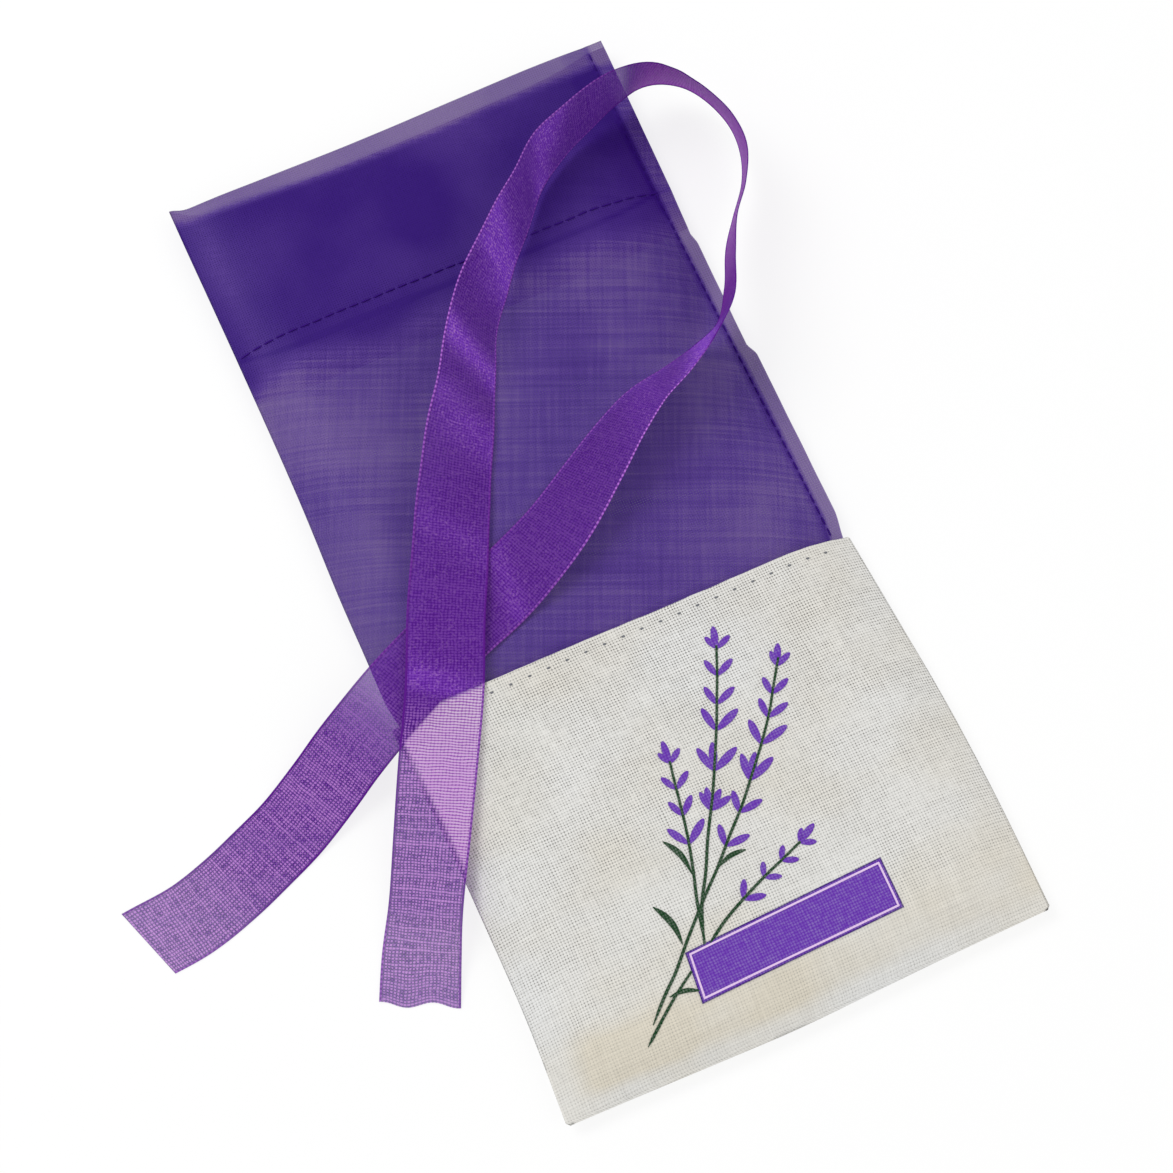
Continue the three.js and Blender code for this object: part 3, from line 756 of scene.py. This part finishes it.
class SachetColours(bpy.types.PropertyGroup):
    """Colours of the cloths, threads and inks."""

    cotton: colour("Cotton", "Undyed cotton", 231, 231, 229)
    cotton_shade: colour("Cotton shade", "Warmer patches of the cotton", 222, 215, 199)
    # Painted shade in the cotton's pores
    cotton_pore_shade: colour("Cotton pores", "Gaps between the cotton's threads", 112, 109, 104)
    organza: colour("Organza", "Body of the neck", 81, 52, 138)
    organza_light: colour("Organza light", "Thin, light patches of the neck", 118, 94, 152)
    organza_dark: colour("Organza dark", "Doubled cloth of the hem", 46, 7, 112)
    ribbon: colour("Ribbon", "Body of the ribbon", 92, 30, 150)
    # Painted highlight: colour of the ribbon's gleams
    ribbon_gleam: colour("Ribbon gleam", "Slanting gleams of the ribbon", 142, 68, 222)
    ribbon_drawn: colour("Ribbon drawn in", "Ribbon in the loop, where its threads crowd", 150, 50, 184)
    # Painted light: the ribbon over the cotton, paler as if lit from behind
    ribbon_pale: colour("Ribbon pale", "Ribbon over the cotton, lit from behind", 230, 204, 236)
    # Painted shade between the ribbon's lit threads
    ribbon_shade: colour("Ribbon shade", "Dark crossings of the ribbon's threads", 62, 14, 104)
    # Painted highlight on the ribbon's lit threads and sparkles
    ribbon_glint: colour("Ribbon glints", "Bright threads of the ribbon", 212, 152, 226)
    selvage: colour("Selvage", "Woven edge of the ribbon", 90, 22, 136)
    # Painted glints on the ribbon's woven edge
    selvage_glint: colour("Selvage glints", "Bright dashes of the woven edge", 198, 124, 230)
    grey_thread: colour("Grey thread", "Topstitching of the pocket", 126, 128, 134)
    purple_thread: colour("Purple thread", "Stitching of the neck", 62, 26, 130)
    purple_ink: colour("Purple ink", "Buds and plaque of the print", 103, 48, 174)
    green_ink: colour("Green ink", "Stems and leaves of the print", 3, 59, 20)
    pale_ink: colour("Pale ink", "Border line of the plaque", 228, 198, 238)
    deep_ink: colour("Deep ink", "Outline of the plaque", 66, 28, 122)
    floor: colour("Floor", "Pale table", 128, 128, 128)


class SachetOperator:
    """What every step of the build shares."""

    bl_options = {"REGISTER", "UNDO"}

    def execute(self, context):
        self.make(context.scene.sachet_sizes, context.scene.sachet_colours)
        return {"FINISHED"}


def material(name, maker, *values):
    return bpy.data.materials.get(name) or maker(*values)


class SACHET_OT_stage(SachetOperator, bpy.types.Operator):
    """Sets the camera, the soft lights and the pale table"""

    bl_idname = "sachet.stage"
    bl_label = "Stage"

    def make(self, sizes, colours):
        scene = bpy.context.scene
        scene.view_settings.view_transform = "Standard"
        camera = bpy.data.objects.new("camera", bpy.data.cameras.new("camera"))
        camera.data.lens = CAMERA_LENS
        camera.data.sensor_width = 36.0
        camera.data.clip_start = 0.01
        turn = Matrix((CAMERA_RIGHT, CAMERA_UP, CAMERA_RIGHT.cross(CAMERA_UP))).transposed().to_4x4()
        camera.matrix_world = Matrix.Translation(CAMERA_PLACE) @ turn
        scene.collection.objects.link(camera)
        scene.camera = camera
        for light in LIGHTS:
            self.light(*light)
        world = bpy.data.worlds.new("studio")
        world.use_nodes = True
        sky = world.node_tree.nodes["Background"]
        sky.inputs[0].default_value = (1.0, 1.0, 1.0, 1.0)
        sky.inputs[1].default_value = SKY_STRENGTH
        scene.world = world
        table = Cloth()
        span = np.linspace(-TABLE_HALF, TABLE_HALF, 5)
        x, y = np.meshgrid(span, span)
        table.grid(np.stack([x, y, np.full_like(x, TABLE_Z)], -1), np.stack([x, y], -1))
        table.build("table", material("pale_floor", pale_floor, colours))

    def light(self, name, place, size, power):
        lamp = bpy.data.lights.new(name, "AREA")
        lamp.size = size
        lamp.energy = power
        holder = bpy.data.objects.new(name, lamp)
        holder.location = place
        holder.rotation_mode = "QUATERNION"
        holder.rotation_quaternion = (LIT_POINT - holder.location).to_track_quat("-Z", "Y")
        bpy.context.scene.collection.objects.link(holder)


class SACHET_OT_ribbon(SachetOperator, bpy.types.Operator):
    """Lays the ribbon in its loop over the neck"""

    bl_idname = "sachet.ribbon"
    bl_label = "Ribbon"

    def make(self, sizes, colours):
        route = np.array(RIBBON_ROUTE, float)
        half = sizes.ribbon_width / MM / 2.0
        lean = np.radians(route[:, 3])
        rise = half * np.abs(np.sin(lean))
        curve = spline(np.column_stack([route[:, :2], route[:, 2] + rise, half * lean]), ROUTE_FINE)
        line, turns = curve[:, :3], curve[:, 3] / half
        places = np.arange(len(line)) / ROUTE_FINE
        dense = profile(RIBBON_DENSE)(places)
        gone = run_along(line)
        steps = np.linspace(0.0, gone[-1], RIBBON_STEPS)
        line = np.column_stack([np.interp(steps, gone, line[:, i]) for i in range(3)])
        turns = np.interp(steps, gone, turns)
        dense = np.interp(steps, gone, dense)
        along, side, above = axes_along(line)
        c, s = np.cos(turns)[:, None], np.sin(turns)[:, None]
        across, normal = c * side + s * above, c * above - s * side
        rim = np.array([0.93, 0.955, 0.97, 0.985, 1.0])
        w = np.concatenate([-rim[::-1], np.linspace(-0.9, 0.9, 21), rim])[None, :]
        run = steps[:, None]
        bead = 0.16 * np.sin(np.pi * np.clip((np.abs(w) - 0.94) / 0.06, 0.0, 1.0))
        waved = smoothstep((run - RIBBON_WAVED[0]) / 20.0) * smoothstep((RIBBON_WAVED[1] - run) / 40.0)
        phase = 2.0 * np.pi * (run + 0.45 * half * w) / RIBBON_WAVE
        waves = RIBBON_WAVE_HEIGHT * waved * np.sin(phase) + 0.15 * ripple(run, 40.0 * w / 7.4, 16.0, 5.9)
        seat = -0.3 * np.cos(turns)[:, None, None] * np.array([0.0, 0.0, 1.0])
        points = line[:, None, :] + half * w[:, :, None] * across[:, None, :]
        points = points + (bead + waves)[:, :, None] * normal[:, None, :] + seat
        cut = END_SLANT * smoothstep((12.0 - run) / 12.0) * w
        cut = cut + END_CURL * smoothstep((run - gone[-1] + 10.0) / 10.0) * np.sin(5.0 * w)
        points = points + cut[:, :, None] * along[:, None, :]
        points[:, :, 2] = np.maximum(points[:, :, 2], RIBBON_LOWEST)
        x, y = points[:, :, 0], points[:, :, 1]
        cloth = np.stack(np.broadcast_arrays(half * (w + 1.0), run), -1)
        bare = np.interp(np.interp(steps, gone, places), *zip(*RIBBON_OPEN))
        # Painted bands of light and shade across the open tails
        painted_light_bands = 1.0 + 0.3 * ripple(0.0 * x, 0.44 * x + y, 3.2, 4.4)
        gleam = -bare[:, None] * painted_light_bands
        # Painted highlights at the listed gleams
        for point, reach, strength in RIBBON_GLEAMS:
            slanted = run - gone[int(point * ROUTE_FINE)] + 0.5 * half * w
            gleam = gleam + strength * bell(slanted / reach)
        top = np.minimum(pocket_top(x), np.interp(x, *zip(*LOWER_RUN_EDGE)))
        # Over the cotton the tone goes to -0.95, which paints the ribbon paler, as if lit from behind
        on_cotton = smoothstep((x - pocket_left(y)) / 1.2) * smoothstep((top - y) / 1.2 + 0.5)
        ribbon = Cloth()
        ribbon.grid(points, cloth, lerp(dense[:, None], -0.95, on_cotton), gleam)
        piece = ribbon.build("ribbon", material("ribbon_cloth", ribbon_cloth, colours, sizes))
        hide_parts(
            "ribbon_tail_left", "ribbon_tail_right", "ribbon_lower_run", "ribbon_loop",
            "ribbon_upper_run",
        )
        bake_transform(piece)


class SACHET_OT_pocket(SachetOperator, bpy.types.Operator):
    """Lofts the cotton pocket, with its turned top edge and the allowances inside it"""

    bl_idname = "sachet.pocket"
    bl_label = "Cotton pocket"

    def make(self, sizes, colours):
        cotton = material("cotton_cloth", cotton_cloth, colours, sizes)
        pocket = Cloth()
        s = eased(76, 0.6)
        up = lerp(np.linspace(0.0, 1.0, 62), 1.0 - np.cos(np.linspace(0.0, 0.5 * np.pi, 62)), 0.5)
        rows = [(v, 0.0, 0.0) for v in up]
        rows += [(1.0, -0.3, 0.15), (1.0, -0.42, 0.45), (1.0, -0.3, 0.75), (1.0, 0.0, TURN_INSET)]
        rows += [(1.0, drop, TURN_INSET) for drop in (1.0, 2.5, 4.5, 6.5, TOP_TURN)]
        points, cloth = [], []
        for v, drop, inset in rows:
            front = self.row(s, v, drop, inset, pocket_front)
            back = self.row(s, v, drop, inset, pocket_back)[::-1]
            ring = np.vstack([front, back])
            points.append(ring)
            width = ring[len(s) - 1, 0] - ring[0, 0]
            run = np.concatenate([s * width, width * (2.0 - s[::-1])])
            cloth.append(np.column_stack([run, ring[:, 1] + 2.0 * drop]))
        points = np.array(points)
        x, y = points[:, :, 0], points[:, :, 1]
        low = smoothstep((STAIN_Y - y) / 7.0)
        worn = smoothstep((WORN_Y - y) / 30.0)
        clear = smoothstep((y - pocket_foot(x) - 1.5) / 3.5)
        clear = clear * smoothstep((x - pocket_left(y) - 2.0) / 8.0)
        stain = clear * (low * lerp(1.05, 0.05, smoothstep((x + 45.0) / 90.0)) + 0.28 * worn)
        smooth = 0.65 * low + 0.35 * worn
        pocket.grid(points, np.array(cloth), smooth, stain)
        piece = pocket.build("cotton_pocket", cotton)
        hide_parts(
            "cotton_front", "cotton_back", "cotton_left_fold", "cotton_right_edge",
            "cotton_bottom_edge",
        )
        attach(piece, "pocket")
        plies = self.allowances(cotton)

    def row(self, s, v, drop, inset, height):
        x = lerp(-POCKET_HALF, POCKET_HALF, s)
        y = lerp(pocket_foot(x), pocket_top(x), v) - drop
        left, right = pocket_sides(y, inset)
        x = lerp(left, right, s)
        return np.column_stack([x, y, height(x, y, inset)])

    def allowances(self, cotton):
        """Both seam allowances, turned inside, as two plies each."""
        plies = Cloth()
        inward = np.linspace(*ALLOWANCE_WIDTH, 5)
        up = np.linspace(*ALLOWANCE_SIDE, 40)[:, None]
        along = np.linspace(*ALLOWANCE_FOOT, 50)[None, :]
        for height in (EDGE_HEIGHT - 0.3, EDGE_HEIGHT + 0.3):
            y, x = np.broadcast_arrays(up, pocket_right(up) - inward[None, :])
            plies.grid(self.ply(x, y, height, 3.0), np.stack([y, x], -1))
            x, y = np.broadcast_arrays(along, pocket_foot(along) + inward[:, None])
            plies.grid(self.ply(x, y, height, 5.0), np.stack([x, y], -1))
        piece = plies.build("cotton_allowances", cotton)
        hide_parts("cotton_side_allowance", "cotton_bottom_allowance")
        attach(piece, "pocket")
        return piece

    def ply(self, x, y, height, seed):
        return np.stack([x, y, height + 0.25 * ripple(x, y, 6.0, seed + height)], -1)


class SACHET_OT_print(SachetOperator, bpy.types.Operator):
    """Prints a plain lavender spray and a bare plaque on the pocket's front"""

    bl_idname = "sachet.print"
    bl_label = "Print"

    def make(self, sizes, colours):
        purple, green, pale, deep = (
            material(ink, printed_ink, ink, getattr(colours, ink), colours, sizes)
            for ink in ("purple_ink", "green_ink", "pale_ink", "deep_ink")
        )
        stems, buds, plaque, border, outline = (Cloth() for _ in range(5))
        for name, points in STEMS.items():
            line = spline(points, 6)
            ends = np.clip(np.linspace(16.0, 0.25, len(line)), 0.0, 1.0)
            self.stroke(stems, line, STEM_HALF * ends * np.linspace(0.85, 1.15, len(line)), STEM_LIFT)
            if name in WHORLS:
                self.flower(buds, line, WHORLS[name])
        for foot, tip in LEAVES:
            self.leaf(stems, np.array(foot), np.array(tip))
        corners = np.array(PLAQUE, float)
        s, t = np.meshgrid(np.linspace(0.0, 1.0, 40), np.linspace(0.0, 1.0, 12))
        upper, lower = (lerp(corners[a], corners[b], s[..., None]) for a, b in ((0, 1), (3, 2)))
        field = lerp(upper, lower, t[..., None])
        plaque.grid(self.laid(field, PLAQUE_LIFT), field)
        middle = corners.mean(axis=0)
        inner = middle + (corners - middle) * (1.0 - BORDER_INSET / np.array(PLAQUE_HALF))
        self.frame_line(border, inner, BORDER_HALF, BORDER_LIFT)
        self.frame_line(outline, corners, OUTLINE_HALF, OUTLINE_LIFT)
        for sheet, name, ink in (
            (stems, "print_stems", green),
            (buds, "print_buds", purple),
            (plaque, "print_plaque", purple),
            (border, "print_border", pale),
            (outline, "print_outline", deep),
        ):
            piece = sheet.build(name, ink)
            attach(piece, "pocket")

    def laid(self, flat, lift):
        """Points of the print set on the cloth, raised by the ink's thickness."""
        x, y = flat[..., 0], flat[..., 1]
        return np.dstack([x, y, pocket_front(x, y) + lift])

    def frame_line(self, sheet, corners, half_width, lift):
        """A line of even width round four corners."""
        t = np.linspace(-0.004, 1.004, 30)[:, None]
        for a, b in zip(corners, np.roll(corners, -1, axis=0)):
            self.stroke(sheet, lerp(a, b, t), np.full(len(t), half_width), lift)

    def stroke(self, sheet, line, half_widths, lift):
        """A printed line whose width varies along it."""
        along = unit(np.gradient(line, axis=0))
        side = np.column_stack([along[:, 1], -along[:, 0]])
        across = np.array([-1.0, 0.0, 1.0])[None, :, None]
        flat = line[:, None, :] + across * side[:, None, :] * half_widths[:, None, None]
        sheet.grid(self.laid(flat, lift), flat)

    def flower(self, buds, line, whorls):
        """Pairs of buds down the stem, some with smaller ones between them."""
        gone = run_along(line)
        for away, size, inner in whorls:
            at = np.array([np.interp(away, gone, line[:, k]) for k in (0, 1)])
            ahead = np.array([np.interp(away + 1.0, gone, line[:, k]) for k in (0, 1)])
            heading = math.atan2(*(at - ahead)[::-1])
            for sign in (-1.0, 1.0):
                spread = sign * math.radians(38.0 + 14.0 * noise.noise(Vector((at[0], at[1], sign))))
                self.bud(buds, at, heading + spread, size * (1.0 - 0.07 * sign))
            for lean in ((), (0.12,), (-0.28, 0.3))[inner]:
                self.bud(buds, at, heading + lean, max(size * 0.96, 4.3))

    def bud(self, buds, foot, heading, size):
        t = 0.5 - 0.5 * np.cos(np.pi * np.linspace(0.0, 1.0, 13))
        way = np.array([math.cos(heading), math.sin(heading)])
        line = foot + way * (0.2 + t[:, None] * size)
        width = (0.09 * size + 0.24) * np.sin(np.pi * t) ** 0.6 * (0.85 + 0.3 * t) + 0.06
        self.stroke(buds, line, width, BUD_LIFT)

    def leaf(self, stems, foot, tip):
        t = np.linspace(0.0, 1.0, 12)[:, None]
        way = tip - foot
        bow = np.array([-way[1], way[0]]) * 0.1 * (1.0 if way[0] < 0 else -1.0)
        line = lerp(foot, tip, t) - bow * np.sin(np.pi * t)
        widest = 0.062 * np.linalg.norm(way)
        self.stroke(stems, line, widest * np.sin(np.pi * t[:, 0] ** 1.2) ** 0.8 + 0.08, STEM_LIFT)


class SACHET_OT_neck(SachetOperator, bpy.types.Operator):
    """Lofts the organza neck, with its hem turned in and its raw side seam"""

    bl_idname = "sachet.neck"
    bl_label = "Organza neck"

    def make(self, sizes, colours):
        neck = Cloth()
        lap = np.linspace(LAP_Y, FOLD_Y - 0.8, 6)
        outer = np.concatenate([lap, np.linspace(FOLD_Y, MOUTH_Y - 0.3, 170)])
        inner = np.linspace(MOUTH_Y - 0.3, HEM_Y - HEM_RAW, 34)
        rows = [(y, 0.0, y) for y in outer]
        rows += [(MOUTH_Y, 0.28, MOUTH_Y)]
        rows += [(y, HEM_INSET, 2.0 * MOUTH_Y - y) for y in inner]
        points, cloth, tones = [], [], []
        for y, inset, run in rows:
            ring, tone = self.row(y, inset)
            points.append(ring)
            cloth.append(np.column_stack([run_along(ring[:, :2]), np.full(len(ring), run)]))
            tones.append(tone)
        neck.grid(np.array(points), np.array(cloth), np.array(tones))
        piece = neck.build("organza_neck", material("organza_cloth", organza_cloth, colours, sizes))
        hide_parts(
            "organza_front", "organza_back", "organza_left_fold", "organza_right_edge",
            "organza_seam_allowance", "organza_front_lap", "organza_back_lap",
        )
        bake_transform(piece)

    def row(self, y, inset):
        """One course of the cloth: raw edge, seam, front, fold, back, seam and raw edge."""
        s = eased(70, 0.55)
        left, seam, raw = (float(v) for v in neck_sides(y))
        ply = 0.16 - 0.1 * inset
        strip = np.linspace(0.0, 1.0, 4)[:-1]
        out_x = lerp(raw, seam, strip)
        front_x, back_x = lerp(seam, left, s), lerp(left, seam, s)[1:]
        lug = MOUTH_LUG * smoothstep((y - 150.0) / 10.0)
        sag = MOUTH_SAG * smoothstep((y - 140.0) / 20.0)
        drop = BACK_SHORTER * smoothstep((y - 110.0) / 40.0)
        front_y, back_y = (
            y + lug * bell((x - left) / 2.0) - sag * smoothstep((seam - x) / 60.0)
            for x in (front_x, back_x)
        )
        back_y = back_y - drop * smoothstep((back_x - left) / 12.0)
        front_z, back_z = neck_front(front_x, y, inset), neck_back(back_x, y, inset)
        front_y = front_y - 0.37 * neck_mouth(y) * (front_z - neck_edge(y))
        front_z = front_z + ply * (front_x >= seam - 0.01)
        back_z = back_z - ply * (back_x >= seam - 0.01)
        edge_z = neck_edge(y) + 0.3 * ripple(out_x, np.full(3, y), 7.0, 2.8)
        x = np.concatenate([out_x, front_x, back_x, out_x[::-1]])
        ys = np.concatenate([np.full(3, y), front_y, back_y, np.full(3, y - drop)])
        z = np.concatenate([edge_z + ply, front_z, back_z, edge_z[::-1] - ply])
        return np.column_stack([x, ys, z]), self.tone(x, y, left, seam)

    def tone(self, x, y, left, seam):
        """Darker where the hem is doubled, lighter at the mouth, the raw strip and the lower left."""
        wander = 3.2 * ripple(x, 0, 14.0, 4.9)
        doubled = smoothstep((y - HEM_Y + HEM_RAW + 0.5 - wander) / 7.0)
        mouth = smoothstep((y - MOUTH_PALE_Y + 2.0 * smoothstep((x - left) / 45.0)) / 3.0)
        cloud = bell((x - HEM_CLOUD[0]) / 13.0) * bell((y - HEM_CLOUD[1]) / 6.0)
        fold = bell((x - left - 4.5) / 2.6)
        side = bell((x - left) / 17.0) * (1.0 - doubled)
        corner = smoothstep((x - 37.0) / 2.0) * smoothstep((y - 140.0) / 4.0) * (x < seam)
        strip = (x > seam + 0.25) * 1.0
        stitched = bell((x - seam) / 0.55)
        through = HEM_Y - 3.4 * neck_swell(x, y)
        row = bell((y - through) / 0.5)
        deep = 0.95 - 0.25 * smoothstep((x + 5.0) / 25.0)
        light = 0.24 * side + doubled * (0.3 * fold - deep) * (1.0 - mouth) + 0.8 * mouth
        light = light + 0.28 * ripple(x, np.full_like(x, y), 19.0, 7.1) - 0.35 * cloud
        return light + strip * (0.95 - 0.1 * doubled) - 0.6 * stitched - 0.3 * corner - 0.4 * row


class SACHET_OT_stitches(SachetOperator, bpy.types.Operator):
    """Sews every row of stitches, one short thread at a time"""

    bl_idname = "sachet.stitches"
    bl_label = "Stitches"

    def make(self, sizes, colours):
        grey = material("grey_sewing", sewing_thread, "grey_sewing", colours.grey_thread)
        purple = material("purple_sewing", sewing_thread, "purple_sewing", colours.purple_thread)
        radius = sizes.thread / MM
        coarse = radius * COARSE_THREAD
        topstitch = Cloth()
        for x in stitches(*TOPSTITCH_ROW):
            y = pocket_top(x) - TOPSTITCH_INSET
            self.stitch(topstitch, x, y, pocket_front(x, y), coarse)
            self.stitch(topstitch, x, y, pocket_back(x, y), coarse, -1.0)
        piece = topstitch.build("topstitching", grey)
        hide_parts("pocket_topstitch_front", "pocket_topstitch_back")
        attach(piece, "pocket")

        hem = Cloth()
        for x in stitches(*HEM_ROW):
            y = HEM_Y + 0.3 * ripple(x, 0, 9.0, 1.0)
            self.stitch(hem, x, y, neck_front(x, y), coarse)
            y = HEM_Y - 0.6 * smoothstep((x + 46.0) / 20.0) + 0.3 * ripple(x, 0, 9.0, 2.0)
            self.stitch(hem, x, y, neck_back(x, y), coarse)
        piece = hem.build("hem_stitching", purple)
        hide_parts("hem_stitch_front", "hem_stitch_back")
        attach(piece, "neck")

        seam = Cloth()
        for y in stitches(*SEAM_ROW):
            x = neck_seam(y) + 0.1
            self.stitch(seam, x, y, neck_edge(y) + 0.2, radius)
            self.stitch(seam, x, y, neck_edge(y) - 0.2, radius, -1.0)
        piece = seam.build("seam_stitching", purple)
        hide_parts("organza_seam_thread")
        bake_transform(piece)

        inside = Cloth()
        for y in stitches(*INSIDE_SIDE_ROW):
            self.stitch(inside, pocket_right(y) - INSIDE_INSET, y, EDGE_HEIGHT + 0.6, radius)
        for x in stitches(*INSIDE_FOOT_ROW):
            self.stitch(inside, x, pocket_foot(x) + INSIDE_INSET, EDGE_HEIGHT + 0.6, radius)
        piece = inside.build("inside_stitching", grey)
        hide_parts("cotton_side_thread", "cotton_bottom_thread")
        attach(piece, "pocket")

    def stitch(self, row, x, y, z, radius, side=1.0):
        """One stitch that comes up through the cloth at height z and goes down again."""
        arch = np.sqrt(np.sin(np.pi * np.linspace(0.0, 1.0, len(x))))
        line = np.column_stack([x, y, z + side * radius * (1.5 * arch - 0.8)])
        row.tube(line, radius * np.minimum(1.0, 2.0 * arch))


STEPS = (
    SACHET_OT_stage,
    SACHET_OT_ribbon,
    SACHET_OT_pocket,
    SACHET_OT_print,
    SACHET_OT_neck,
    SACHET_OT_stitches,
)


class SACHET_PT_sidebar(bpy.types.Panel):
    """Lists the steps of the bag and their sizes and colours"""

    bl_idname = "SACHET_PT_sidebar"
    bl_label = "Sachet bag"
    bl_space_type = "VIEW_3D"
    bl_region_type = "UI"
    bl_category = "Sachet"

    def draw(self, context):
        for step in STEPS:
            self.layout.operator(step.bl_idname)
        for group in (context.scene.sachet_sizes, context.scene.sachet_colours):
            for name in group.__annotations__:
                self.layout.prop(group, name)


CLASSES = (SachetSizes, SachetColours, *STEPS, SACHET_PT_sidebar)


def register():
    for cls in CLASSES:
        bpy.utils.register_class(cls)
    bpy.types.Scene.sachet_sizes = bpy.props.PointerProperty(type=SachetSizes)
    bpy.types.Scene.sachet_colours = bpy.props.PointerProperty(type=SachetColours)


def unregister():
    del bpy.types.Scene.sachet_colours
    del bpy.types.Scene.sachet_sizes
    for cls in reversed(CLASSES):
        bpy.utils.unregister_class(cls)


def main():
    register()
    bpy.ops.sachet.stage()
    bpy.ops.sachet.ribbon()
    bpy.ops.sachet.pocket()
    bpy.ops.sachet.print()
    bpy.ops.sachet.neck()
    bpy.ops.sachet.stitches()


if __name__ == "__main__":
    main()
